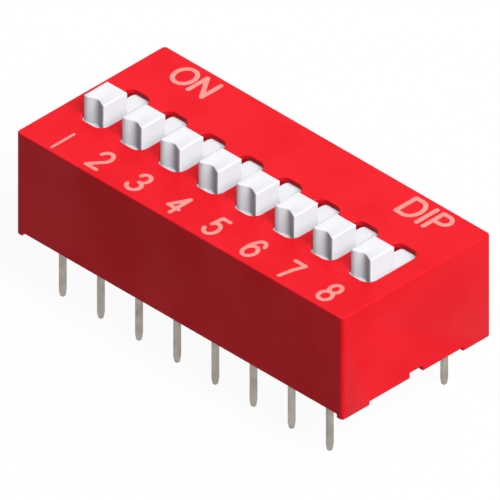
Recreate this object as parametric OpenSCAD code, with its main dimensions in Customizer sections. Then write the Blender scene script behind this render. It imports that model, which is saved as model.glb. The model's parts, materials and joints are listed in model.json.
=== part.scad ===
// Eight-position slide DIP switch with raised actuators, for a printed circuit board.
// Millimetres, +Z up. The origin is the centre of the pin grid on the board's surface,
// which is the plane that the four feet stand on. +X runs from position 1 to the last
// position, and +Y points to the ON side. Every slider is drawn in its OFF place.

/* [Package] */
// Distance between neighbouring positions and pins
pitch = 2.54; // [2.5:0.01:2.7]
// Distance between the two rows of pins
row_spacing = 7.62; // [7.5:0.01:7.8]
// From the centre of an outer pin to the end of the body
end_margin = 1.97; // [1.9:0.01:2.3]
// From the centre line of a row of pins to the long side of the body
side_margin = 1.14; // [1.1:0.02:1.4]
// Height of the body from the board to the top face
body_h = 5.85; // [5.75:0.05:6.4]
// Radius of the body's upright edges
corner_r = 0.2; // [0.1:0.05:0.4]
// Height of the four corner feet
foot_h = 0.2; // [0.1:0.05:0.3]
// Length of each foot along an end wall
foot_len = 1.85; // [1.2:0.05:2.4]
// Length of each foot along a long wall
foot_side = 0.4; // [0.3:0.05:0.6]
// Width of the notch in the middle of each end wall
notch_w = 0.85; // [0.6:0.05:1.4]
// Height of that notch above the board
notch_h = 0.5; // [0.35:0.05:0.7]

/* [Cover] */
// Thickness of the two long walls
side_wall = 0.55; // [0.5:0.05:0.6]
// Thickness of the two end walls
end_wall = 0.65; // [0.6:0.05:0.7]
// Thickness of the top over the sliders
top_t = 0.3; // [0.25:0.05:0.4]
// Width of a slot
slot_w = 1.62; // [1.56:0.02:1.7]
// Length of a slot
slot_len = 3.5; // [3.4:0.05:3.6]
// Radius of a slot's corners
slot_r = 0.55; // [0.2:0.05:0.7]
// Distance of the slots from the middle of the body, towards the OFF side
slot_shift = 0.31; // [0.25:0.01:0.35]

/* [Sliders] */
// Width of a knob
knob_w = 1.34; // [1.2:0.02:1.4]
// Length of a knob along its travel
knob_len = 1.57; // [1.45:0.01:1.6]
// Height of a knob above the body
knob_h = 1.16; // [0.8:0.02:1.5]
// Depth of the finger groove in a knob's front
groove_depth = 0.2; // [0.1:0.02:0.26]
// Width of the flat land on each side of the groove
groove_land = 0.1; // [0.06:0.02:0.16]
// Travel from OFF to ON
travel = 1.3; // [1.2:0.02:1.4]
// Thickness of a slider's plate
plate_t = 0.45; // [0.4:0.05:0.5]
// Width of a slider's plate
plate_w = 2.0; // [1.96:0.02:2.04]
// How far the plate reaches under the cover past a slot's end
plate_lap = 0.2; // [0.15:0.01:0.25]
// Width of the tongue at each end of the plate
tongue_w = 1.1; // [1:0.02:1.2]
// Length of that tongue
tongue_len = 0.9; // [0.7:0.05:0.95]
// Width of the block that carries the moving contact
carrier_w = 1.76; // [1.7:0.02:1.8]
// Length of that block
carrier_len = 3.4; // [3:0.1:3.6]

/* [Terminals] */
// Thickness of the stamped strip
pin_t = 0.2; // [0.18:0.01:0.22]
// Width of a pin
pin_w = 0.36; // [0.3:0.02:0.4]
// Length of a pin below the board's surface
pin_len = 3.2; // [2.8:0.05:3.6]
// Height of a pin's tapered tip
tip_h = 0.35; // [0.2:0.05:0.5]
// Width of a pin at its end
tip_w = 0.2; // [0.14:0.02:0.24]
// Distance of a contact pad's inner end from the middle of the body
pad_reach = 1.2; // [1.15:0.01:1.25]
// Width of a contact pad across the strip
pad_w = 0.85; // [0.75:0.05:0.9]
// How far a pad stands above the base's floor
pad_rise = 0.1; // [0.05:0.01:0.14]

/* [Moving contacts] */
// Thickness of the leaf
leaf_t = 0.12; // [0.1:0.01:0.14]
// Width of the leaf
leaf_w = 1.2; // [1.1:0.05:1.25]
// Distance of each rounded foot from the leaf's middle
leaf_reach = 1.85; // [1.8:0.01:1.9]
// Inner radius of a foot
leaf_bend = 0.25; // [0.2:0.01:0.3]
// Width of the slit that splits each arm in two fingers
slit_w = 0.16; // [0.12:0.02:0.2]

/* [Base] */
// Height of the base's floor above the board
floor_z = 2.2; // [2.1:0.05:2.3]
// Depth of the hollow in the base's underside
core_depth = 0.6; // [0.4:0.05:0.7]
// Depth of the snap catches
snap_depth = 0.14; // [0.1:0.01:0.18]

/* [Clearances] */
// Gap on each side of a sliding plate
side_clear = 0.04; // [0.03:0.01:0.05]
// Gap above a sliding plate
top_clear = 0.03; // [0.02:0.01:0.05]
// Gap left at each end of the travel
end_clear = 0.02; // [0.01:0.01:0.03]
// Gap between the base and the cover's walls
seat_clear = 0.03; // [0.02:0.01:0.04]
// Gap between a leaf's foot and the pad below it
foot_clear = 0.02; // [0.01:0.01:0.04]
// Gap on each side of the leaf in its channel
leaf_clear = 0.03; // [0.02:0.01:0.04]

/* [Hidden] */
$fn = 48;
// Overshoot of a cut, and how far two joined shapes reach into each other.
eps = 0.05;
seam = 0.01;
// The mouldings, the sliders and both rows of pins follow this count.
positions = 8;

body_l = (positions - 1) * pitch + 2 * end_margin;
body_w = row_spacing + 2 * side_margin;
inner_l = body_l - 2 * end_wall;
inner_w = body_w - 2 * side_wall;
base_l = inner_l - 2 * seat_clear;
base_w = inner_w - 2 * seat_clear;
slot_y = -slot_shift;

// Sliders: the plate closes its slot at both ends of the travel, but for a narrow gap on each
// side of its tongues.
plate_len = slot_len + travel + 2 * plate_lap;
plate_top = body_h - top_t - top_clear;
plate_bottom = plate_top - plate_t;
slider_y = slot_y - travel / 2;
tongue_r = 0.4;
knob_top = body_h + knob_h;
groove_half = knob_w / 2 - groove_land;
groove_r = (groove_half * groove_half + groove_depth * groove_depth) / (2 * groove_depth);

// Channels in the cover that the plates run in, and the ribs between them.
channel_w = plate_w + 2 * side_clear;
channel_len = plate_len + travel + 2 * end_clear;
channel_drop = 0.65;
channel_z = plate_bottom - channel_drop;
bar_t = 0.5;
relief_depth = 0.8;
relief_top = body_h - relief_depth;
rib_t = pitch - channel_w;

// Leaf: a flat seat, two sloping arms and two rounded feet.
pad_z = floor_z + pad_rise;
seat_half = 0.65;
seat_rise = 0.66;
seat_z = pad_z + seat_rise;
leaf_mid_r = leaf_bend + leaf_t / 2;
foot_z = pad_z + foot_clear + leaf_t + leaf_bend;
foot_end_angle = -15;
stake_r = 0.24;
stake_clear = 0.02;
stake_head_r = 0.38;
stake_head_t = 0.12;
slit_gap = 0.15;
slit_start = seat_half + slit_gap;

// Carrier: two cheeks reach down beside the leaf.
cheek_drop = 0.33;
cheek_z = seat_z - cheek_drop;

// Terminals: a blade with a shoulder, its top folded over to make the pad.
bend_in = 0.1;
bend_out = bend_in + pin_t;
arm_h = 0.62;
shoulder_step = 0.2;
shoulder_w = pin_w + 2 * shoulder_step;
shoulder_low = 0.55;
shoulder_high = 1.35;
arm_len = row_spacing / 2 - pad_reach;

// Base: the hollow below the floor, and the catches that hold it in the cover.
core_side = 0.5;
core_end = 0.7;
core_w = row_spacing - shoulder_w - 2 * core_side;
core_l = inner_l - 2 * core_end;
core_rib_t = 0.5;
core_ribs = 3;
snap_rise = 0.5;
snap_z = foot_h + snap_rise;
snap_h = 0.55;
snap_lip = 0.12;
snap_len = 1.6;
snap_clear = 0.03;
snap_pitches = 2.5;
snap_x = snap_pitches * pitch;

cover_colour = [0.86, 0.07, 0.11];
base_colour = [0.72, 0.06, 0.09];
slider_colour = [0.97, 0.97, 0.97];
contact_colour = [0.85, 0.66, 0.25];
terminal_colour = [0.68, 0.68, 0.65];

function cell_x(i) = (i - (positions + 1) / 2) * pitch;

cells = [for (i = [1:positions]) i];

// Upright block with rounded corners, centred on the axis, from z = low to z = high.
module rounded_block(length, width, radius, low, high) {
    translate([0, 0, low])
        linear_extrude(high - low)
            rounded_rectangle(length, width, radius);
}

// Rectangle with exact round corners, centred on the origin.
module rounded_rectangle(length, width, radius) {
    square([length - 2 * radius, width], center = true);
    square([length, width - 2 * radius], center = true);
    for (sx = [-1, 1], sy = [-1, 1])
        translate([sx * (length / 2 - radius), sy * (width / 2 - radius)])
            circle(radius);
}

// Block centred in X and Y, from z = low to z = high.
module block(length, width, low, high) {
    translate([-length / 2, -width / 2, low])
        cube([length, width, high - low]);
}

// Wedge-shaped catch along X that stands out towards +Y: flat below, sloping above.
module catch(grow) {
    translate([-snap_len / 2 - grow, 0, snap_z - grow])
        rotate([90, 0, 90])
            linear_extrude(snap_len + 2 * grow)
                polygon([
                    [-eps, 0],
                    [snap_depth + grow, 0],
                    [snap_depth + grow, snap_lip],
                    [0, snap_h + 2 * grow],
                    [-eps, snap_h + 2 * grow]
                ]);
}

// All the catches, standing on the walls of a block of the given size.
module catches(length, width, grow) {
    for (side = [0, 180]) rotate([0, 0, side]) {
        for (x = [-snap_x, snap_x]) translate([x, width / 2, 0]) catch(grow);
        translate([length / 2, 0, 0]) rotate([0, 0, -90]) catch(grow);
    }
}

// The red upper housing: four walls, a slotted top, slider channels and four feet.
module cover() {
    color(cover_colour)
        difference() {
            rounded_block(body_l, body_w, corner_r, 0, body_h);
            block(inner_l, inner_w, -eps, channel_z);
            for (i = cells) translate([cell_x(i), 0, 0]) cover_channel();
            block(body_l - 2 * foot_side, body_w + 2 * eps, -eps, foot_h);
            block(body_l + 2 * eps, body_w - 2 * foot_len, -eps, foot_h);
            block(body_l + 2 * eps, notch_w, -eps, notch_h);
            catches(inner_l, inner_w, snap_clear);
        }
}

// What is cut out of the cover for one slider.
module cover_channel() {
    translate([0, slot_y, 0]) {
        block(channel_w, channel_len, channel_z - eps, body_h - top_t);
        translate([0, 0, body_h - top_t - eps])
            linear_extrude(top_t + 2 * eps)
                rounded_rectangle(slot_w, slot_len, slot_r);
    }
    relief_start = slot_y + channel_len / 2 + bar_t;
    relief_len = inner_w / 2 - relief_start;
    translate([0, relief_start + relief_len / 2, 0])
        block(channel_w, relief_len, channel_z - eps, relief_top);
}

// The lower housing: a floor that holds the terminals, and ribs between the positions.
module base() {
    color(base_colour)
        difference() {
            union() {
                block(base_l, base_w, foot_h, floor_z);
                for (i = [1:positions - 1])
                    translate([cell_x(i) + pitch / 2, 0, 0])
                        block(rib_t, base_w, floor_z - eps, channel_z);
                end_rib_t = (base_l - (positions - 1) * pitch - channel_w) / 2;
                for (side = [-1, 1])
                    translate([side * (base_l - end_rib_t) / 2, 0, 0])
                        block(end_rib_t, base_w, floor_z - eps, channel_z);
                catches(base_l, base_w, 0);
            }
            base_core();
            for (i = [1:2 * positions]) place_terminal(i) terminal_blank();
        }
}

// The hollow in the base's underside, crossed by stiffening ribs.
module base_core() {
    difference() {
        block(core_l, core_w, foot_h - eps, foot_h + core_depth);
        for (k = [1:core_ribs])
            translate([(k / (core_ribs + 1) - 0.5) * core_l, 0, 0])
                block(core_rib_t, core_w + 2 * eps, foot_h - 2 * eps, foot_h + core_depth + eps);
    }
}

// One slider: the knob, the plate with a tongue at each end, and the contact's carrier.
module slider(i) {
    color(slider_colour)
        translate([cell_x(i), slider_y, 0]) {
            difference() {
                block(knob_w, knob_len, plate_top - eps, knob_top);
                translate([0, -knob_len / 2 - groove_r + groove_depth, plate_top])
                    cylinder(r = groove_r, h = knob_top);
            }
            block(plate_w, plate_len - 2 * tongue_len, plate_bottom, plate_top);
            rounded_block(tongue_w, plate_len, tongue_r, plate_bottom, plate_top);
            difference() {
                block(carrier_w, carrier_len, cheek_z, plate_bottom + eps);
                block(leaf_w + 2 * leaf_clear, carrier_len + 2 * eps, cheek_z - eps, seat_z);
            }
            translate([0, 0, seat_z - leaf_t - eps])
                cylinder(r = stake_r, h = leaf_t + 2 * eps);
            translate([0, 0, seat_z - leaf_t - stake_head_t])
                cylinder(r = stake_head_r, h = stake_head_t);
        }
}

// Half of the leaf's side view, from its middle to the end of one foot.
module leaf_half() {
    start = [seat_half, seat_z - leaf_t / 2];
    centre = [leaf_reach, foot_z];
    reach = norm(centre - start);
    lean = atan2(start[1] - centre[1], start[0] - centre[0]);
    touch_angle = lean + acos(leaf_mid_r / reach);
    touch = centre + leaf_mid_r * [cos(touch_angle), sin(touch_angle)];
    arm = touch - start;
    translate([0, seat_z - leaf_t]) square([seat_half, leaf_t]);
    translate(start) {
        circle(leaf_t / 2);
        rotate(atan2(arm[1], arm[0]))
            translate([0, -leaf_t / 2]) square([norm(arm) + seam, leaf_t]);
    }
    translate(centre)
        intersection() {
            difference() {
                circle(leaf_bend + leaf_t);
                circle(leaf_bend);
            }
            far = 4 * leaf_bend;
            mid_angle = (touch_angle + 360 + foot_end_angle) / 2;
            polygon([
                [0, 0],
                far * [cos(touch_angle), sin(touch_angle)],
                far * [cos(touch_angle) + cos(mid_angle), sin(touch_angle) + sin(mid_angle)],
                far * [cos(mid_angle), sin(mid_angle)],
                far * [cos(foot_end_angle), sin(foot_end_angle)]
            ]);
        }
}

// One moving contact: a bowed leaf that joins its two pads when it is ON.
module contact(i) {
    color(contact_colour)
        translate([cell_x(i), slider_y, 0])
            difference() {
                rotate([90, 0, 90])
                    translate([0, 0, -leaf_w / 2])
                        linear_extrude(leaf_w) {
                            leaf_half();
                            mirror([1, 0]) leaf_half();
                        }
                translate([0, 0, seat_z - leaf_t - eps])
                    cylinder(r = stake_r + stake_clear, h = leaf_t + 2 * eps);
                slit_len = leaf_reach + leaf_bend + leaf_t - slit_start + eps;
                for (side = [-1, 1])
                    translate([0, side * (slit_start + slit_len / 2), 0])
                        block(slit_w, slit_len, pad_z - eps, seat_z + eps);
            }
}

// Side view of a terminal's flat blade, with its pin on the axis and its arm towards -X.
module blade_outline() {
    web_top = pad_z - bend_out;
    polygon([
        [-pin_w / 2, web_top - arm_h],
        [-pin_w / 2, shoulder_high],
        [-shoulder_w / 2, shoulder_high],
        [-shoulder_w / 2, shoulder_low + shoulder_step],
        [-pin_w / 2, shoulder_low],
        [-pin_w / 2, tip_h - pin_len],
        [-tip_w / 2, -pin_len],
        [tip_w / 2, -pin_len],
        [pin_w / 2, tip_h - pin_len],
        [pin_w / 2, shoulder_low],
        [shoulder_w / 2, shoulder_low + shoulder_step],
        [shoulder_w / 2, shoulder_high],
        [pin_w / 2, shoulder_high],
        [pin_w / 2, web_top],
        [-arm_len, web_top],
        [-arm_len, web_top - arm_h]
    ]);
}

// End view of the folded top: a quarter bend and the flat pad beside it.
module fold_section() {
    translate([bend_out - pin_t / 2, pad_z - bend_out]) {
        intersection() {
            difference() {
                circle(bend_out);
                circle(bend_in);
            }
            translate([-bend_out, 0]) square(bend_out);
        }
        translate([0, bend_in]) square([pad_w - bend_out, pin_t]);
    }
}

// A terminal with its pin on the axis, its arm towards -Y and its pad folded to +X.
module terminal_blank() {
    translate([-pin_t / 2, 0, 0])
        rotate([90, 0, 90])
            linear_extrude(pin_t) blade_outline();
    translate([0, pin_w / 2, 0])
        rotate([90, 0, 0])
            linear_extrude(arm_len + pin_w / 2) fold_section();
}

// Pins count along the OFF row from position 1, then back along the ON row.
module place_terminal(i) {
    front = i <= positions;
    translate([cell_x(front ? i : 2 * positions + 1 - i), (front ? -1 : 1) * row_spacing / 2, 0])
        rotate([0, 0, front ? 180 : 0])
            children();
}

module terminal(i) {
    color(terminal_colour) place_terminal(i) terminal_blank();
}

cover();
base();
for (i = cells) slider(i);
for (i = cells) contact(i);
for (i = [1:2 * positions]) terminal(i);
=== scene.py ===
"""Dresses a red slide switch block: moulded housing, white sliders, plated terminals and print."""

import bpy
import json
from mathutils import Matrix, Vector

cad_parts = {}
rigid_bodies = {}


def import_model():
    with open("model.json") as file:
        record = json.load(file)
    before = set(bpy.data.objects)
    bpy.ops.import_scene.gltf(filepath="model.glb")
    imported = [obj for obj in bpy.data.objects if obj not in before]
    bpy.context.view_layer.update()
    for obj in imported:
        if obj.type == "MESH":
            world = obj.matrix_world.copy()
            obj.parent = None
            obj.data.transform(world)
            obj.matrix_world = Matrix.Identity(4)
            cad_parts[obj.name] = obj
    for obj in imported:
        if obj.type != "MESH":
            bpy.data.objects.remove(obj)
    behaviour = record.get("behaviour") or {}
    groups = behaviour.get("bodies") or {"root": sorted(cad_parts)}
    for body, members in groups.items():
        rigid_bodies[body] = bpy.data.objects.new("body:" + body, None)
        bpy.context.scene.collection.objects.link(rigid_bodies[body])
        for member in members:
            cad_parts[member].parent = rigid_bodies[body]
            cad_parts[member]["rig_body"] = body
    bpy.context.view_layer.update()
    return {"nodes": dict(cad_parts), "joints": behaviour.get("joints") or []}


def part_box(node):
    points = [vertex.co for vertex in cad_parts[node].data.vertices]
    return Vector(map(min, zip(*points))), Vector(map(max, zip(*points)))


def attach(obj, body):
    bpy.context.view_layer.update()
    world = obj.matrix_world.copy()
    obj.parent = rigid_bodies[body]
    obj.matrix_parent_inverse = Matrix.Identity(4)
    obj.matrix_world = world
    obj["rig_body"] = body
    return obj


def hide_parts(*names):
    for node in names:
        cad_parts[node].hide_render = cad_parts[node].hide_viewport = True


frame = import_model()

import json
import logging
import math
from dataclasses import dataclass
from enum import Enum
from typing import Iterable, Sequence

import bmesh
import bpy
import numpy as np
from mathutils import Vector

LOG = logging.getLogger("switch_block")
MM = 0.001

Colour = tuple[float, float, float]


class Body(Enum):
    """Bodies that a piece can ride on."""

    HOUSING = "housing"


class Slot(Enum):
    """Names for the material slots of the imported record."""

    COVER = "cover"
    BASE = "base"
    ACTUATOR = "actuator"
    TERMINAL = "terminal"


# ---------------------------------------------------------------------------------------------
# Shader building


class NodeSheet:
    """Adds nodes to one tree and joins them."""

    def __init__(self, tree: bpy.types.NodeTree) -> None:
        """Starts with an empty tree.

        Args:
            tree: The node tree to fill.
        """
        self.tree = tree
        tree.nodes.clear()

    def add(self, kind: str, **sockets: object) -> bpy.types.Node:
        """Adds a node and fills its sockets and settings.

        Args:
            kind: Blender's name of the node type.
            **sockets: Values by socket name with _ for a space, outputs to link by the same
                names, or settings of the node itself.

        Returns:
            The new node.
        """
        node = self.tree.nodes.new(kind)
        settings = {k: v for k, v in sockets.items() if k in node.bl_rna.properties}
        for key, value in settings.items():
            setattr(node, key, value)
        for key, value in sockets.items():
            if key not in settings:
                self.feed(node, key.replace("_", " "), value)
        return node

    def feed(self, node: bpy.types.Node, name: str, value: object) -> None:
        """Sets an input to a value, or links an output to it.

        Args:
            node: The node that holds the input.
            name: The input's name, or i0, i1 and so on for its place in the list.
            value: A plain value, a colour or an output socket.
        """
        numbered = name[:1] == "i" and name[1:].isdigit()
        socket = node.inputs[int(name[1:])] if numbered else node.inputs[name]
        if isinstance(value, bpy.types.NodeSocket):
            self.tree.links.new(value, socket)
        elif isinstance(value, tuple) and len(value) == 3 and socket.type == "RGBA":
            socket.default_value = (*value, 1.0)
        else:
            socket.default_value = value

    def math(self, operation: str, *values: object) -> bpy.types.NodeSocket:
        """Adds one Math node.

        Args:
            operation: The node's operation.
            *values: Its inputs in order.

        Returns:
            The result socket.
        """
        inputs = {f"i{k}": v for k, v in enumerate(values)}
        return self.add("ShaderNodeMath", operation=operation, **inputs).outputs[0]

    def mix(self, factor: object, first: object, second: object) -> bpy.types.NodeSocket:
        """Blends two colours.

        Args:
            factor: Share of the second colour.
            first: Colour at factor 0.
            second: Colour at factor 1.

        Returns:
            The blended colour's socket.
        """
        node = self.add("ShaderNodeMix", data_type="RGBA", clamp_factor=True)
        for place, value in ((0, factor), (6, first), (7, second)):
            self.feed(node, f"i{place}", value)
        return node.outputs[2]

    def ramp(self, value: object, low: float, high: float) -> bpy.types.NodeSocket:
        """Maps a value smoothly from 0 at low to 1 at high.

        Args:
            value: Socket or number to map.
            low: Value that gives 0.
            high: Value that gives 1.

        Returns:
            The mapped value's socket.
        """
        return self.add(
            "ShaderNodeMapRange",
            interpolation_type="SMOOTHSTEP",
            Value=value,
            From_Min=low,
            From_Max=high,
        ).outputs[0]

    def noise(
        self, place: object, scale: object, detail: float, roughness: float = 0.5
    ) -> bpy.types.NodeSocket:
        """Adds a noise texture.

        Args:
            place: Coordinate socket in metres.
            scale: Features a metre.
            detail: Octaves of finer noise.
            roughness: Strength of each octave next to the one before.

        Returns:
            The noise value's socket.
        """
        return self.add(
            "ShaderNodeTexNoise", Vector=place, Scale=scale, Detail=detail, Roughness=roughness
        ).outputs[0]

    def bump(self, height: object, depth: float) -> bpy.types.NodeSocket:
        """Turns a height into a bumped normal.

        Args:
            height: Socket of the height, from 0 to 1.
            depth: Depth of the relief in metres.

        Returns:
            The normal's socket.
        """
        return self.add("ShaderNodeBump", Strength=1.0, Distance=depth, Height=height).outputs[0]


class EffectGroup:
    """A shader node group with named inputs and outputs, built once and used by many finishes."""

    title = ""
    inputs: dict[str, tuple[str, float]] = {}
    outputs: dict[str, str] = {}

    @classmethod
    def tree(cls) -> bpy.types.NodeTree:
        """The group's tree, built at its first use.

        Returns:
            The node group.
        """
        made = bpy.data.node_groups.get(cls.title)
        if made:
            return made
        group = bpy.data.node_groups.new(cls.title, "ShaderNodeTree")
        for name, (kind, value) in cls.inputs.items():
            socket = group.interface.new_socket(name, in_out="INPUT", socket_type=kind)
            if kind == "NodeSocketFloat":
                socket.default_value = value
        for name, kind in cls.outputs.items():
            group.interface.new_socket(name, in_out="OUTPUT", socket_type=kind)
        sheet = NodeSheet(group)
        source = sheet.add("NodeGroupInput").outputs
        made_values = cls.wire(sheet, source)
        sink = sheet.add("NodeGroupOutput")
        for name, value in made_values.items():
            sheet.feed(sink, name, value)
        return group

    @classmethod
    def wire(cls, sheet: NodeSheet, source: object) -> dict[str, object]:
        """Makes the group's inner nodes.

        Args:
            sheet: Sheet of the group's tree.
            source: The group's inputs by name.

        Returns:
            The group's outputs by name.
        """
        raise NotImplementedError

    @classmethod
    def place(cls, sheet: NodeSheet, **values: object) -> bpy.types.NodeOutputs:
        """Puts the group into a material.

        Args:
            sheet: Sheet of the material's tree.
            **values: Its inputs by name with _ for a space.

        Returns:
            The group node's outputs.
        """
        node = sheet.add("ShaderNodeGroup", node_tree=cls.tree())
        for key, value in values.items():
            sheet.feed(node, key.replace("_", " "), value)
        return node.outputs


class MouldGrain(EffectGroup):
    """Spark-eroded mould texture: a fine pebbled height, and the slow cloud of the filled resin."""

    title = "mould_grain"
    inputs = {
        "Place": ("NodeSocketVector", 0.0),
        "Grain Size": ("NodeSocketFloat", 0.00006),
        "Cloud Size": ("NodeSocketFloat", 0.003),
    }
    outputs = {"Height": "NodeSocketFloat", "Cloud": "NodeSocketFloat", "Fleck": "NodeSocketFloat"}
    pebble_share = -0.6
    cloud_range = (0.3, 0.7)
    fleck_scale = 0.31
    fleck_range = (0.09, 0.04)

    @classmethod
    def wire(cls, sheet: NodeSheet, source: object) -> dict[str, object]:
        """Wires the pebbles, the cloud and the flecks.

        The pebbles' height is noise less a share of the distance to the nearest cell. The cloud is
        slow noise. A fleck stands at the middle of each cell of a coarser pattern.

        Args:
            sheet: Sheet of the group's tree.
            source: The group's inputs by name.

        Returns:
            The group's outputs by name.
        """
        place = source["Place"]
        fine = sheet.math("DIVIDE", 1.0, source["Grain Size"])
        slow = sheet.math("DIVIDE", 1.0, source["Cloud Size"])
        cells = sheet.add(
            "ShaderNodeTexVoronoi", feature="SMOOTH_F1", Vector=place, Scale=fine
        ).outputs["Distance"]
        rough = sheet.noise(place, fine, 2.0)
        cloud = sheet.noise(place, slow, 3.0, 0.45)
        sparse = sheet.math("MULTIPLY", fine, cls.fleck_scale)
        fleck = sheet.add("ShaderNodeTexVoronoi", Vector=place, Scale=sparse).outputs["Distance"]
        return {
            "Height": sheet.math("MULTIPLY_ADD", cells, cls.pebble_share, rough),
            "Cloud": sheet.ramp(cloud, *cls.cloud_range),
            "Fleck": sheet.ramp(fleck, *cls.fleck_range),
        }


class EdgeWearAndShade(EffectGroup):
    """Edges for wear and painted shade: where the rounded normal leaves the flat one, broken by
    noise.
    """

    title = "edge_wear_and_shade"
    inputs = {
        "Place": ("NodeSocketVector", 0.0),
        "Reach": ("NodeSocketFloat", 0.00008),
        "Patch Size": ("NodeSocketFloat", 0.0008),
    }
    outputs = {"Wear": "NodeSocketFloat"}
    samples = 6
    bend_range = (0.02, 0.22)
    patch_range = (0.35, 0.75)

    @classmethod
    def wire(cls, sheet: NodeSheet, source: object) -> dict[str, object]:
        """Wires the edge mask: one minus the dot product of both normals, times a patchy noise.

        Args:
            sheet: Sheet of the group's tree.
            source: The group's inputs by name.

        Returns:
            The group's outputs by name.
        """
        rounded = sheet.add(
            "ShaderNodeBevel", samples=cls.samples, Radius=source["Reach"]
        ).outputs[0]
        flat = sheet.add("ShaderNodeNewGeometry").outputs["True Normal"]
        dot = sheet.add("ShaderNodeVectorMath", operation="DOT_PRODUCT", i0=rounded, i1=flat)
        bend = sheet.math("SUBTRACT", 1.0, dot.outputs["Value"])
        patch = sheet.noise(source["Place"], sheet.math("DIVIDE", 1.0, source["Patch Size"]), 4.0)
        edge = sheet.ramp(bend, *cls.bend_range)
        return {"Wear": sheet.math("MULTIPLY", edge, sheet.ramp(patch, *cls.patch_range))}


class DrawnLines(EffectGroup):
    """Fine lines that rolling leaves along a metal strip, and the slow stain of its plating."""

    title = "drawn_lines"
    inputs = {
        "Place": ("NodeSocketVector", 0.0),
        "Line Width": ("NodeSocketFloat", 0.00003),
        "Stain Size": ("NodeSocketFloat", 0.0009),
    }
    outputs = {"Lines": "NodeSocketFloat", "Stain": "NodeSocketFloat"}
    squeeze = (1.0, 1.0, 0.033)
    stain_range = (0.32, 0.68)

    @classmethod
    def wire(cls, sheet: NodeSheet, source: object) -> dict[str, object]:
        """Wires the lines, noise stretched about thirty times along Z, and the even, slow stain.

        Args:
            sheet: Sheet of the group's tree.
            source: The group's inputs by name.

        Returns:
            The group's outputs by name.
        """
        place = source["Place"]
        stretched = sheet.add(
            "ShaderNodeMapping", vector_type="POINT", Vector=place, Scale=cls.squeeze
        ).outputs[0]
        lines = sheet.noise(stretched, sheet.math("DIVIDE", 1.0, source["Line Width"]), 2.0)
        stain = sheet.noise(place, sheet.math("DIVIDE", 1.0, source["Stain Size"]), 5.0, 0.6)
        return {"Lines": lines, "Stain": sheet.ramp(stain, *cls.stain_range)}


def new_material(name: str) -> tuple[bpy.types.Material, NodeSheet]:
    """Makes an empty node material.

    Args:
        name: The material's name.

    Returns:
        The material and a sheet for its tree.
    """
    material = bpy.data.materials.new(name)
    material.use_nodes = True
    return material, NodeSheet(material.node_tree)


def object_place(sheet: NodeSheet) -> bpy.types.NodeSocket:
    """The socket of object coordinates, in metres."""
    return sheet.add("ShaderNodeTexCoord").outputs["Object"]


def finish_surface(sheet: NodeSheet, shader: bpy.types.Node) -> None:
    """Joins a shader to the material's output."""
    sheet.add("ShaderNodeOutputMaterial", Surface=shader.outputs[0])


# ---------------------------------------------------------------------------------------------
# Finishes


@dataclass(frozen=True)
class MouldedPlastic:
    """Moulded resin: eroded grain, slow clouds, small flecks, edges of wear and painted shade.

    The light that it throws on its neighbours is drawn towards the quiet colour by the quiet share.
    """

    name: str
    colour: Colour
    cloud_colour: Colour
    wear_and_edge_shade_colour: Colour
    roughness: float
    specular: float
    grain_size: float = 0.06 * MM
    grain_depth: float = 0.0012 * MM
    wear: float = 0.35
    fleck: float = 0.15
    quiet_colour: Colour = (0.08, 0.11, 0.14)
    quiet: float = 0.0
    cloud_roughness: float = 0.08
    worn_roughness: float = -0.1

    def material(self) -> bpy.types.Material:
        """Builds the finish.

        Returns:
            The node material.
        """
        material, sheet = new_material(self.name)
        place = object_place(sheet)
        grain = MouldGrain.place(sheet, Place=place, Grain_Size=self.grain_size)
        edge_mask = EdgeWearAndShade.place(sheet, Place=place)["Wear"]
        flecked = sheet.math("MULTIPLY", grain["Fleck"], self.fleck)
        worn_and_shaded_edges = sheet.math("MULTIPLY", edge_mask, self.wear)
        colour = sheet.mix(grain["Cloud"], self.colour, self.cloud_colour)
        colour = sheet.mix(flecked, colour, self.wear_and_edge_shade_colour)
        # Edges drawn to the edge colour: wear, and where that colour is darker, painted shade along
        # the edges.
        colour = sheet.mix(worn_and_shaded_edges, colour, self.wear_and_edge_shade_colour)
        if self.quiet:
            thrown = sheet.add("ShaderNodeLightPath").outputs["Is Diffuse Ray"]
            share = sheet.math("MULTIPLY", thrown, self.quiet)
            colour = sheet.mix(share, colour, self.quiet_colour)
        rough = sheet.math("MULTIPLY_ADD", grain["Cloud"], self.cloud_roughness, self.roughness)
        rough = sheet.math("MULTIPLY_ADD", edge_mask, self.worn_roughness, rough)
        shader = sheet.add(
            "ShaderNodeBsdfPrincipled",
            Base_Color=colour,
            Roughness=rough,
            Specular_IOR_Level=self.specular,
            Normal=sheet.bump(grain["Height"], self.grain_depth),
        )
        finish_surface(sheet, shader)
        return material


@dataclass(frozen=True)
class PlatedStrip:
    """Stamped metal strip with rolled lines, a cloudy plating and bright rubbed corners."""

    name: str
    colour: Colour
    stain_colour: Colour
    wear_and_edge_shade_colour: Colour
    roughness: float
    metallic: float = 1.0
    line_depth: float = 0.0006 * MM
    wear: float = 0.6
    wear_reach: float = 0.03 * MM
    stain_roughness: float = 0.14

    def material(self) -> bpy.types.Material:
        """Builds the finish.

        Returns:
            The node material.
        """
        material, sheet = new_material(self.name)
        place = object_place(sheet)
        drawn = DrawnLines.place(sheet, Place=place)
        edge_mask = EdgeWearAndShade.place(sheet, Place=place, Reach=self.wear_reach)["Wear"]
        colour = sheet.mix(drawn["Stain"], self.colour, self.stain_colour)
        colour = sheet.mix(sheet.math("MULTIPLY", edge_mask, self.wear), colour, self.wear_and_edge_shade_colour)
        rough = sheet.math("MULTIPLY_ADD", drawn["Stain"], self.stain_roughness, self.roughness)
        shader = sheet.add(
            "ShaderNodeBsdfPrincipled",
            Base_Color=colour,
            Roughness=rough,
            Metallic=self.metallic,
            Normal=sheet.bump(drawn["Lines"], self.line_depth),
        )
        finish_surface(sheet, shader)
        return material


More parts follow.
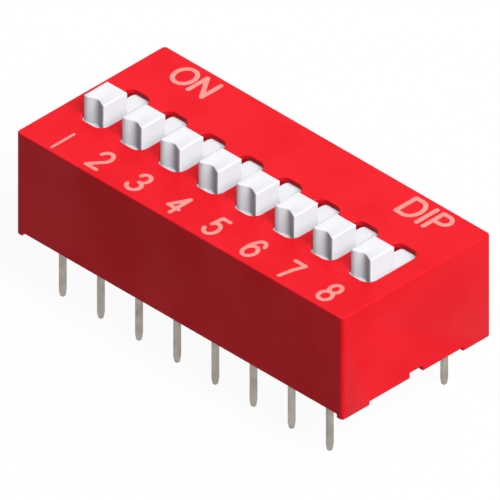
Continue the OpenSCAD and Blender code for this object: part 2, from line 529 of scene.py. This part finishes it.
@dataclass(frozen=True)
class PadInk:
    """Printed ink: a thin film that is a little uneven, with pinholes that show the red below."""

    name: str
    colour: Colour
    thin_colour: Colour
    below: Colour
    thin_size: float = 0.25 * MM
    thin_range: tuple[float, float] = (0.35, 0.7)
    hole_size: float = 0.03 * MM
    hole_range: tuple[float, float] = (0.24, 0.16)
    relief_size: float = 0.05 * MM
    relief_depth: float = 0.0008 * MM
    roughness: float = 0.5
    thin_roughness: float = 0.1
    specular: float = 0.25

    def material(self) -> bpy.types.Material:
        """Builds the finish.

        Returns:
            The node material.
        """
        material, sheet = new_material(self.name)
        place = object_place(sheet)
        thin = sheet.ramp(sheet.noise(place, 1.0 / self.thin_size, 3.0), *self.thin_range)
        holes = sheet.ramp(sheet.noise(place, 1.0 / self.hole_size, 1.0), *self.hole_range)
        relief = sheet.noise(place, 1.0 / self.relief_size, 2.0)
        colour = sheet.mix(thin, self.colour, self.thin_colour)
        colour = sheet.mix(holes, colour, self.below)
        shader = sheet.add(
            "ShaderNodeBsdfPrincipled",
            Base_Color=colour,
            Roughness=sheet.math("MULTIPLY_ADD", thin, self.thin_roughness, self.roughness),
            Specular_IOR_Level=self.specular,
            Normal=sheet.bump(relief, self.relief_depth),
        )
        finish_surface(sheet, shader)
        return material


RED_COVER = MouldedPlastic(
    name="red_cover_resin",
    colour=(0.93, 0.010, 0.022),
    cloud_colour=(0.87, 0.008, 0.018),
    # A darker red at the edges, painted shade along the cover's edges.
    wear_and_edge_shade_colour=(0.55, 0.006, 0.012),
    roughness=0.42,
    specular=0.14,
    wear=0.6,
    quiet=0.94,
)
RED_BASE = MouldedPlastic(
    name="red_base_resin",
    colour=(0.80, 0.009, 0.019),
    cloud_colour=(0.72, 0.007, 0.015),
    wear_and_edge_shade_colour=(0.50, 0.005, 0.010),
    roughness=0.5,
    specular=0.14,
    quiet=0.94,
    grain_size=0.09 * MM,
)
WHITE_SLIDER = MouldedPlastic(
    name="white_slider_resin",
    colour=(0.93, 0.92, 0.955),
    cloud_colour=(0.915, 0.905, 0.94),
    wear_and_edge_shade_colour=(0.97, 0.97, 0.98),
    roughness=0.4,
    specular=0.12,
    quiet=0.92,
    grain_size=0.04 * MM,
    grain_depth=0.0006 * MM,
    fleck=0.05,
)
TINNED_STRIP = PlatedStrip(
    name="tinned_strip",
    colour=(0.42, 0.39, 0.35),
    stain_colour=(0.34, 0.31, 0.27),
    wear_and_edge_shade_colour=(0.62, 0.58, 0.52),
    roughness=0.42,
)
GILT_LEAF = PlatedStrip(
    name="gilt_leaf",
    colour=(0.83, 0.60, 0.22),
    stain_colour=(0.74, 0.52, 0.18),
    wear_and_edge_shade_colour=(0.93, 0.74, 0.36),
    roughness=0.28,
)
PALE_PRINT = PadInk(
    name="pale_print",
    colour=(1.0, 0.375, 0.33),
    thin_colour=(0.98, 0.30, 0.265),
    below=(0.93, 0.06, 0.07),
)


# ---------------------------------------------------------------------------------------------
# Meshes


def new_piece(name: str, mesh: bpy.types.Mesh, body: str) -> bpy.types.Object:
    """Makes an object of a mesh that already has its place, and lets it ride on a body.

    Args:
        name: The piece's name.
        mesh: Its mesh, in metres in the frame.
        body: The body that it rides on.

    Returns:
        The object.
    """
    piece = bpy.data.objects.new(name, mesh)
    bpy.context.scene.collection.objects.link(piece)
    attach(piece, body)
    return piece


def grid_mesh(name: str, points: np.ndarray, quads: np.ndarray) -> bpy.types.Mesh:
    """Puts whole arrays of corners and quads into a mesh.

    Args:
        name: The mesh's name.
        points: Corners, one row of x, y and z each, in metres.
        quads: Four corner numbers a row.

    Returns:
        The mesh.
    """
    mesh = bpy.data.meshes.new(name)
    mesh.vertices.add(len(points))
    mesh.vertices.foreach_set("co", points.astype(np.float32).ravel())
    mesh.loops.add(quads.size)
    mesh.loops.foreach_set("vertex_index", quads.astype(np.int32).ravel())
    mesh.polygons.add(len(quads))
    mesh.polygons.foreach_set("loop_start", np.arange(len(quads), dtype=np.int32) * 4)
    mesh.update(calc_edges=True)
    mesh.validate()
    return mesh


def corners(mesh: bpy.types.Mesh) -> np.ndarray:
    """Reads a mesh's corners.

    Args:
        mesh: The mesh.

    Returns:
        Its corners in rows of x, y and z.
    """
    points = np.empty(len(mesh.vertices) * 3, dtype=np.float32)
    mesh.vertices.foreach_get("co", points)
    return points.reshape(-1, 3)


@dataclass(frozen=True)
class SoftGroove:
    """The thumb groove in a knob's front, with lips that run softly into the flats beside it.

    Across the groove its depth is half of the full depth, times one plus the cosine of an angle
    that runs evenly from minus to plus 180 degrees.
    """

    half_width: float = 0.6 * MM
    depth: float = 0.2 * MM
    shift: float = 0.06 * MM
    knob_height: float = 1.5 * MM
    slack: float = 0.02 * MM
    merge: float = 0.002 * MM
    cut_reach: float = 0.001 * MM
    split: int = 4
    # Faces that face backwards or sideways more than this aren't cut.
    most_backward: float = 0.5
    most_sideways: float = 0.9

    def carve(self, mesh: bpy.types.Mesh) -> None:
        """Slices the knob's front and top, and moves the groove's corners onto the curve.

        Args:
            mesh: The slider's mesh.
        """
        points = corners(mesh)
        x, _, z = points.T
        floor = z.max() - self.knob_height
        knob = points[z > z.max() - self.knob_height / 2]
        left, front = knob[:, :2].min(axis=0)
        middle = (left + knob[:, 0].max()) / 2
        marks = np.sort(x[self.inside(points, middle, front, floor)])
        marks = marks[np.diff(marks, prepend=-np.inf) > self.merge]
        places = np.linspace(0, len(marks) - 1, (len(marks) - 1) * self.split + 1)
        self.slice(mesh, np.interp(places, np.arange(len(marks)), marks), floor)
        points = corners(mesh)
        inside = self.inside(points, middle, front, floor)
        share = (points[inside, 0] - middle - self.shift) / self.half_width
        curve = 0.5 * self.depth * (1.0 + np.cos(np.pi * np.clip(share, -1.0, 1.0)))
        points[inside, 1] = front + curve
        mesh.vertices.foreach_set("co", points.ravel())
        mesh.update()

    def inside(self, points: np.ndarray, middle: float, front: float, floor: float) -> np.ndarray:
        """Which corners lie on the groove's surface.

        Args:
            points: Corners in rows of x, y and z.
            middle: The knob's middle along X.
            front: The knob's front along Y.
            floor: The knob's lowest level.

        Returns:
            One truth value a corner.
        """
        x, y, z = points.T
        across = np.abs(x - middle) < self.half_width + self.slack
        along = (y > front - self.slack) & (y < front + self.depth + self.slack)
        return across & along & (z > floor)

    def slice(self, mesh: bpy.types.Mesh, stops: np.ndarray, floor: float) -> None:
        """Cuts the knob's front and top along planes across X.

        Args:
            mesh: The slider's mesh.
            stops: The planes' places along X.
            floor: Faces whose middle is below this level stay whole.
        """
        shape = bmesh.new()
        shape.from_mesh(mesh)
        for stop in stops:
            faces = [
                face
                for face in shape.faces
                if face.calc_center_median().z > floor + self.slack
                and face.normal.y < self.most_backward
                and abs(face.normal.x) < self.most_sideways
            ]
            edges = {edge for face in faces for edge in face.edges}
            bmesh.ops.bisect_plane(
                shape,
                geom=[*faces, *edges],
                dist=self.cut_reach,
                plane_co=(stop, 0.0, 0.0),
                plane_no=(1.0, 0.0, 0.0),
            )
        shape.to_mesh(mesh)
        shape.free()


@dataclass
class Refiner:
    """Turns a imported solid's loose triangles into a clean solid with small rounded edges."""

    edge_radius: float
    groove: SoftGroove | None = None
    segments: int = 2
    sharp_angle: float = math.radians(50.0)
    weld: float = 0.0002 * MM
    flat_angle: float = math.radians(0.3)
    area_weight: int = 60

    def clean(self, node: str) -> bpy.types.Mesh:
        """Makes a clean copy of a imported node's mesh.

        Args:
            node: The node's name.

        Returns:
            The copy, with flat faces joined, the groove carved and sharp edges marked.
        """
        mesh = bpy.data.meshes.new(f"{node}_clean")
        shape = bmesh.new()
        shape.from_mesh(frame["nodes"][node].data)
        bmesh.ops.remove_doubles(shape, verts=shape.verts, dist=self.weld)
        bmesh.ops.dissolve_limit(
            shape,
            angle_limit=self.flat_angle,
            use_dissolve_boundaries=False,
            verts=shape.verts,
            edges=shape.edges,
        )
        shape.to_mesh(mesh)
        shape.free()
        if self.groove:
            self.groove.carve(mesh)
        count = len(mesh.polygons)
        mesh.polygons.foreach_set("use_smooth", np.ones(count, dtype=bool))
        mesh.polygons.foreach_set("material_index", np.zeros(count, dtype=np.int32))
        mesh.set_sharp_from_angle(angle=self.sharp_angle)
        return mesh

    def dress(
        self, mesh: bpy.types.Mesh, node: str, finish: bpy.types.Material
    ) -> bpy.types.Object:
        """Makes the piece that stands for a node, and rounds its sharp edges.

        Args:
            mesh: Its mesh.
            node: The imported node's name.
            finish: The material that it gets.

        Returns:
            The new piece.
        """
        mesh.materials.append(finish)
        body = frame["nodes"][node]["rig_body"]
        piece = new_piece(f"{node}_finished", mesh, body)
        bevel = piece.modifiers.new("soft_edges", "BEVEL")
        bevel.width = self.edge_radius
        bevel.segments = self.segments
        bevel.limit_method = "ANGLE"
        bevel.angle_limit = self.sharp_angle
        bevel.use_clamp_overlap = False
        bevel.harden_normals = self.groove is None
        if self.groove:
            even = piece.modifiers.new("even_shading", "WEIGHTED_NORMAL")
            even.mode = "FACE_AREA"
            even.weight = self.area_weight
            even.keep_sharp = True
        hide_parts(node)
        LOG.info("%s: %d faces before rounding", piece.name, len(mesh.polygons))
        return piece

    def refine(self, node: str, finish: bpy.types.Material) -> bpy.types.Object:
        """Cleans and dresses one node.

        Args:
            node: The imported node's name.
            finish: The material that it gets.

        Returns:
            The new piece.
        """
        return self.dress(self.clean(node), node, finish)

    def repeat(
        self, nodes: Sequence[str], finish: bpy.types.Material
    ) -> list[bpy.types.Object]:
        """Dresses a row of like nodes with the first one's clean mesh.

        Each copy is moved by the distance between its node's box and the first node's box.

        Args:
            nodes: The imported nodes' names.
            finish: The material that they get.

        Returns:
            The new pieces.
        """
        master = self.clean(nodes[0])
        start = np.array(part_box(nodes[0])[0])
        pieces = []
        for node in nodes:
            mesh = master.copy()
            mesh.name = f"{node}_clean"
            points = corners(mesh) + (np.array(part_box(node)[0]) - start).astype(np.float32)
            mesh.vertices.foreach_set("co", points.ravel())
            mesh.update()
            pieces.append(self.dress(mesh, node, finish))
        bpy.data.meshes.remove(master)
        return pieces


# ---------------------------------------------------------------------------------------------
# Lettering


def arc(
    centre: tuple[float, float],
    radii: tuple[float, float],
    start: float,
    stop: float,
    count: int = 25,
) -> np.ndarray:
    """Points on an ellipse: centre plus the radii times cosine and sine of an even run of angles.

    Args:
        centre: The ellipse's middle.
        radii: Its half width and half height.
        start: First angle in degrees.
        stop: Last angle in degrees.
        count: Number of points.

    Returns:
        Points in rows of x and y.
    """
    turn = np.radians(np.linspace(start, stop, count))
    return np.array(centre) + np.array(radii) * np.column_stack([np.cos(turn), np.sin(turn)])


def line(*points: tuple[float, float]) -> np.ndarray:
    """Points of a stroke with straight runs."""
    return np.array(points, dtype=float)


# The middle lines of each sign's strokes, in shares of the box that those lines fill.
SIGNS: dict[str, list[np.ndarray]] = {
    "1": [line((0.5, 0.0), (0.5, 1.0))],
    "2": [
        np.vstack([arc((0.5, 0.71), (0.5, 0.29), 168, -38), line((0.0, 0.0), (1.0, 0.0))]),
    ],
    "3": [
        arc((0.46, 0.755), (0.44, 0.245), 165, -90),
        arc((0.46, 0.255), (0.54, 0.255), 90, -165),
    ],
    "4": [line((0.76, 0.0), (0.76, 1.0), (0.0, 0.3), (1.0, 0.3))],
    "5": [
        np.vstack(
            [
                line((0.9, 1.0), (0.2, 1.0), (0.09, 0.52)),
                arc((0.48, 0.33), (0.52, 0.33), 138, -158),
            ]
        ),
    ],
    "6": [
        arc((0.5, 0.31), (0.5, 0.31), 0, 360),
        arc((0.55, 0.42), (0.55, 0.58), 180, 40),
    ],
    "7": [line((0.0, 1.0), (1.0, 1.0), (0.64, 0.55), (0.42, 0.0))],
    "8": [arc((0.5, 0.765), (0.42, 0.235), 0, 360), arc((0.5, 0.265), (0.5, 0.265), 0, 360)],
    "O": [arc((0.5, 0.5), (0.5, 0.5), 0, 360)],
    "N": [line((0.0, 0.0), (0.0, 1.0), (1.0, 0.0), (1.0, 1.0))],
    "D": [
        np.vstack(
            [
                line((0.45, 0.0), (0.0, 0.0), (0.0, 1.0), (0.45, 1.0)),
                arc((0.45, 0.5), (0.55, 0.5), 90, -90),
            ]
        ),
    ],
    "I": [line((0.5, 0.0), (0.5, 1.0))],
    "P": [
        np.vstack(
            [
                line((0.0, 0.0), (0.0, 1.0), (0.52, 1.0)),
                arc((0.52, 0.74), (0.48, 0.26), 90, -90),
                line((0.0, 0.48)),
            ]
        ),
    ],
}


@dataclass
class PrintedSign:
    """One printed sign: a thin film of ink wherever a stroke's middle line is close enough."""

    name: str
    sign: str
    low: tuple[float, float]
    size: tuple[float, float]
    pen: float
    top: float
    thickness: float = 0.012 * MM
    sink: float = 0.002 * MM
    step: float = 0.028 * MM
    probe: float = 0.0014 * MM
    rounds: int = 4
    least_slope: float = 0.25

    def strokes(self) -> list[np.ndarray]:
        """The sign's middle lines at their real size and place, in metres."""
        span = np.array(self.size) - self.pen
        return [np.array(self.low) + self.pen / 2 + path * span for path in SIGNS[self.sign]]

    @staticmethod
    def distance(points: np.ndarray, strokes: Sequence[np.ndarray]) -> np.ndarray:
        """Distance of each point to the nearest stroke.

        A point's nearest spot on a straight run is its shadow on the run, held between both ends.

        Args:
            points: Rows of x and y.
            strokes: Polylines.

        Returns:
            One distance a point.
        """
        nearest = np.full(len(points), np.inf)
        for path in strokes:
            start, run = path[:-1], np.diff(path, axis=0)
            offset = points[:, None, :] - start[None]
            square = np.maximum((run**2).sum(axis=1), np.finfo(float).tiny)
            share = np.clip((offset * run[None]).sum(axis=2) / square, 0.0, 1.0)
            gap = np.linalg.norm(offset - share[..., None] * run[None], axis=2)
            nearest = np.minimum(nearest, gap.min(axis=1))
        return nearest

    def slope(self, points: np.ndarray, strokes: Sequence[np.ndarray]) -> np.ndarray:
        """How the distance grows: its difference across a short probe, over the probe's length.

        Args:
            points: Rows of x and y.
            strokes: Polylines.

        Returns:
            The slopes along x and y, one row a point.
        """
        rises = [
            self.distance(points + shift, strokes) - self.distance(points - shift, strokes)
            for shift in np.eye(2) * self.probe
        ]
        return np.stack(rises, axis=1) / (2 * self.probe)

    def mesh(self) -> bpy.types.Mesh:
        """Keeps the grid cells whose middle is inked, and pulls their rim onto the stroke's edge.

        The sheet is the grid (x, y) where distance to a stroke is below half the pen; a rim corner
        moves against the distance's slope until its distance is exactly half the pen.

        Returns:
            The open sheet, facing up.
        """
        strokes = self.strokes()
        counts = [int(round(side / self.step)) + 2 for side in self.size]
        axes = [self.low[k] + (np.arange(counts[k] + 1) - 1) * self.step for k in (0, 1)]
        flat = np.stack(np.meshgrid(*axes, indexing="ij"), axis=-1)
        middle = (flat[:-1, :-1] + flat[1:, 1:]) / 2
        gap = self.distance(middle.reshape(-1, 2), strokes).reshape(middle.shape[:2])
        number = np.arange(flat.shape[0] * flat.shape[1]).reshape(flat.shape[:2])
        around = (number[:-1, :-1], number[1:, :-1], number[1:, 1:], number[:-1, 1:])
        quads = np.stack(around, axis=-1)[gap < self.pen / 2]
        shared = np.zeros(number.size, dtype=int)
        np.add.at(shared, quads.ravel(), 1)
        points = flat.reshape(-1, 2)
        rim = np.flatnonzero((shared > 0) & (shared < 4))
        for _ in range(self.rounds):
            here = points[rim]
            gap = self.distance(here, strokes)
            slope = self.slope(here, strokes)
            steep = np.maximum((slope**2).sum(axis=1), self.least_slope)
            points[rim] = here - slope * ((gap - self.pen / 2) / steep)[:, None]
        used, order = np.unique(quads, return_inverse=True)
        height = np.full(len(used), self.top - self.sink)
        film = np.column_stack([points[used], height])
        return grid_mesh(self.name, film, order.reshape(quads.shape))

    def build(self, ink: bpy.types.Material) -> bpy.types.Object:
        """Makes the sign's piece.

        Args:
            ink: The ink's material.

        Returns:
            The piece, which rides on the housing.
        """
        mesh = self.mesh()
        mesh.materials.append(ink)
        piece = new_piece(self.name, mesh, Body.HOUSING.value)
        film = piece.modifiers.new("film", "SOLIDIFY")
        film.thickness = self.thickness + self.sink
        film.offset = 1.0
        return piece


# ---------------------------------------------------------------------------------------------
# Sub-assemblies


@dataclass
class Housing:
    """The red cover and the base that closes it from below."""

    cover_edge: float = 0.05 * MM
    base_edge: float = 0.03 * MM

    def build(self) -> list[bpy.types.Object]:
        """Dresses both mouldings.

        Returns:
            The two pieces.
        """
        return [
            Refiner(self.cover_edge).refine("cover", RED_COVER.material()),
            Refiner(self.base_edge).refine("base", RED_BASE.material()),
        ]


@dataclass
class SliderBank:
    """The white sliders and the sprung leaves that they carry."""

    count: int
    edge: float = 0.04 * MM

    def build(self) -> list[bpy.types.Object]:
        """Dresses every slider, and gives each leaf its gilt finish.

        Returns:
            The slider pieces.
        """
        resin, gilt = WHITE_SLIDER.material(), GILT_LEAF.material()
        for number in range(1, self.count + 1):
            leaf = frame["nodes"][f"contact_{number}"]
            leaf.material_slots[0].material = gilt
            LOG.info("%s: gilt", leaf.name)
        nodes = [f"slider_{number}" for number in range(1, self.count + 1)]
        return Refiner(self.edge, groove=SoftGroove()).repeat(nodes, resin)


@dataclass
class TerminalRows:
    """Both rows of stamped terminals."""

    count: int
    edge: float = 0.025 * MM

    def build(self) -> list[bpy.types.Object]:
        """Dresses every terminal.

        Returns:
            The terminal pieces.
        """
        tin = TINNED_STRIP.material()
        refiner = Refiner(self.edge)
        return [
            refiner.refine(f"terminal_{number}", tin)
            for number in range(1, self.count + 1)
        ]


@dataclass
class Legend:
    """The print on the cover: a number at each position, and two words beside the ON side."""

    count: int
    pitch: float
    first: float
    left: float
    front: float
    top: float
    digit_size: tuple[float, float] = (0.89 * MM, 1.62 * MM)
    bar_size: tuple[float, float] = (0.15 * MM, 1.62 * MM)
    # Digits that stand off their place: the digit, and its shift across and along in millimetres.
    shifts: tuple[tuple[str, float, float], ...] = (("1", 0.12, -0.14), ("7", -0.10, -0.02))
    digit_pen: float = 0.22 * MM
    digit_low: float = 0.35 * MM
    word_pen: float = 0.25 * MM
    # Piece, letter, distance from the left end and from the front, width and height in millimetres.
    letters: tuple[tuple[str, str, float, float, float, float], ...] = (
        ("on_o", "O", 1.77, 8.02, 1.34, 1.54),
        ("on_n", "N", 3.18, 8.02, 1.14, 1.54),
        ("dip_d", "D", 17.06, 7.97, 1.22, 1.63),
        ("dip_i", "I", 18.43, 7.97, 0.25, 1.63),
        ("dip_p", "P", 18.88, 7.97, 1.03, 1.63),
    )

    def signs(self) -> Iterable[PrintedSign]:
        """Lays out every sign on the cover's top.

        Yields:
            The signs, numbers first.
        """
        shifts = {digit: (across * MM, along * MM) for digit, across, along in self.shifts}
        for place in range(self.count):
            digit = str(place + 1)
            bar = digit == "1"
            size = self.bar_size if bar else self.digit_size
            across, along = shifts.get(digit, (0.0, 0.0))
            middle = self.first + place * self.pitch + across
            low = (middle - size[0] / 2, self.front + self.digit_low + along)
            pen = size[0] if bar else self.digit_pen
            yield PrintedSign(f"number_{digit}", digit, low, size, pen, self.top)
        for name, sign, across, along, width, height in self.letters:
            low = (self.left + across * MM, self.front + along * MM)
            size = (width * MM, height * MM)
            yield PrintedSign(f"letter_{name}", sign, low, size, self.word_pen, self.top)

    def build(self) -> list[bpy.types.Object]:
        """Prints every sign.

        Returns:
            The sign pieces.
        """
        ink = PALE_PRINT.material()
        pieces = [sign.build(ink) for sign in self.signs()]
        LOG.info("legend: %d signs", len(pieces))
        return pieces


@dataclass
class Studio:
    """A pale floor, soft light from the right and from behind, and the camera."""

    floor_level: float
    floor_half: float = 0.6
    look_at: tuple[float, float, float] = (0.003767, -0.0040, 0.00585)
    azimuth: float = 45.0
    elevation: float = 35.264
    view_width: float = 0.023544
    distance: float = 0.3
    clip: tuple[float, float] = (0.001, 10.0)
    ambient: float = 0.115
    floor_glow: float = 0.9
    floor_tone: float = 0.1
    floor_bounce: float = 0.12
    # Direction towards the lamp, irradiance on a face turned to it, its softness in degrees, and
    # whether it casts shadows.
    lamps: tuple[tuple[str, tuple[float, float, float], float, float, bool], ...] = (
        ("key_lamp", (0.685, -0.05, 0.727), 0.56, 34.0, True),
        ("fill_lamp", (0.685, -0.05, 0.727), 0.64, 34.0, False),
        ("back_lamp", (-0.32, 0.94, 0.06), 0.20, 24.0, True),
    )

    def build(self) -> None:
        """Makes the floor, the world, the lamps and the camera."""
        self.floor()
        self.world()
        for lamp in self.lamps:
            self.lamp(*lamp)
        self.camera()
        bpy.context.scene.view_settings.view_transform = "Standard"
        LOG.info("studio: floor at %.2f mm", self.floor_level / MM)

    @staticmethod
    def seen(sheet: NodeSheet) -> bpy.types.NodeSocket:
        """One where a ray comes from the camera, a reflection or glass, and zero elsewhere.

        Args:
            sheet: Sheet of the tree that needs it.

        Returns:
            The value's socket.
        """
        path = sheet.add("ShaderNodeLightPath").outputs
        mirrored = sheet.math("MAXIMUM", path["Is Glossy Ray"], path["Is Transmission Ray"])
        return sheet.math("MAXIMUM", path["Is Camera Ray"], mirrored)

    def floor(self) -> None:
        """A flat square that can be looked through from below.

        Its corners are plus and minus the half size at the floor's level.
        """
        sign = np.array([[-1, -1], [1, -1], [1, 1], [-1, 1]]) * self.floor_half
        points = np.column_stack([sign, np.full(4, self.floor_level)])
        mesh = grid_mesh("floor", points, np.array([[0, 1, 2, 3]]))
        material, sheet = new_material("pale_floor")
        tone = (self.floor_tone,) * 3
        glow = sheet.add("ShaderNodeEmission", Color=(1.0, 1.0, 1.0), Strength=self.floor_glow)
        shade = sheet.add("ShaderNodeBsdfDiffuse", Color=tone)
        shown = sheet.add("ShaderNodeAddShader", i0=glow.outputs[0], i1=shade.outputs[0])
        bounce = sheet.add("ShaderNodeBsdfDiffuse", Color=(self.floor_bounce,) * 3)
        both = sheet.add(
            "ShaderNodeMixShader", i0=self.seen(sheet), i1=bounce.outputs[0], i2=shown.outputs[0]
        )
        below = sheet.math(
            "MULTIPLY",
            sheet.add("ShaderNodeNewGeometry").outputs["Backfacing"],
            sheet.add("ShaderNodeLightPath").outputs["Is Camera Ray"],
        )
        clear = sheet.add("ShaderNodeBsdfTransparent")
        one_sided = sheet.add(
            "ShaderNodeMixShader", i0=below, i1=both.outputs[0], i2=clear.outputs[0]
        )
        finish_surface(sheet, one_sided)
        mesh.materials.append(material)
        floor = bpy.data.objects.new("floor", mesh)
        bpy.context.scene.collection.objects.link(floor)

    def world(self) -> None:
        """White where it is seen, and a plain dim ambient elsewhere."""
        world = bpy.data.worlds.new("studio")
        world.use_nodes = True
        sheet = NodeSheet(world.node_tree)
        seen = self.seen(sheet)
        strength = sheet.math("MULTIPLY_ADD", seen, 1.0 - self.ambient, self.ambient)
        sky = sheet.add("ShaderNodeBackground", Color=(1.0, 1.0, 1.0), Strength=strength)
        sheet.add("ShaderNodeOutputWorld", Surface=sky.outputs[0])
        bpy.context.scene.world = world

    def lamp(
        self,
        name: str,
        towards: tuple[float, float, float],
        light: float,
        soft: float,
        shadows: bool,
    ) -> None:
        """Makes one distant lamp.

        Args:
            name: The lamp's name.
            towards: Direction from the object to the lamp.
            light: Irradiance on a face turned to it, where 1 shows a colour as it is.
            soft: Width of the lamp in the sky, in degrees.
            shadows: Whether it casts shadows.
        """
        data = bpy.data.lights.new(name, "SUN")
        data.energy = light * math.pi
        data.angle = math.radians(soft)
        data.use_shadow = shadows
        lamp = bpy.data.objects.new(name, data)
        lamp.rotation_mode = "QUATERNION"
        lamp.rotation_quaternion = Vector(towards).to_track_quat("Z", "Y")
        bpy.context.scene.collection.objects.link(lamp)

    def camera(self) -> None:
        """A camera without perspective, which sees all three axes at one scale."""
        data = bpy.data.cameras.new("camera")
        data.type = "ORTHO"
        data.ortho_scale = self.view_width
        data.clip_start, data.clip_end = self.clip
        camera = bpy.data.objects.new("camera", data)
        turn, rise = math.radians(self.azimuth), math.radians(self.elevation)
        back = Vector(
            (math.sin(turn) * math.cos(rise), -math.cos(turn) * math.cos(rise), math.sin(rise))
        )
        camera.rotation_mode = "QUATERNION"
        camera.location = Vector(self.look_at) + back * self.distance
        camera.rotation_quaternion = (-back).to_track_quat("-Z", "Y")
        bpy.context.scene.collection.objects.link(camera)
        bpy.context.scene.camera = camera


def main() -> None:
    """Builds the studio, the housing, the sliders, the terminals and the print, in that order."""
    logging.basicConfig(level=logging.INFO, format="%(name)s: %(message)s")
    joints = len(frame["joints"])
    cover_low, cover_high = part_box("cover")
    pin_low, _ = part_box("terminal_1")
    first = sum(corner[0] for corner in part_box("slider_1")) / 2
    second = sum(corner[0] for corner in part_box("slider_2")) / 2
    Studio(floor_level=pin_low[2]).build()
    Housing().build()
    SliderBank(count=joints).build()
    TerminalRows(count=2 * joints).build()
    Legend(
        count=joints,
        pitch=second - first,
        first=first,
        left=cover_low[0],
        front=cover_low[1],
        top=cover_high[2],
    ).build()


if __name__ == "__main__":
    main()
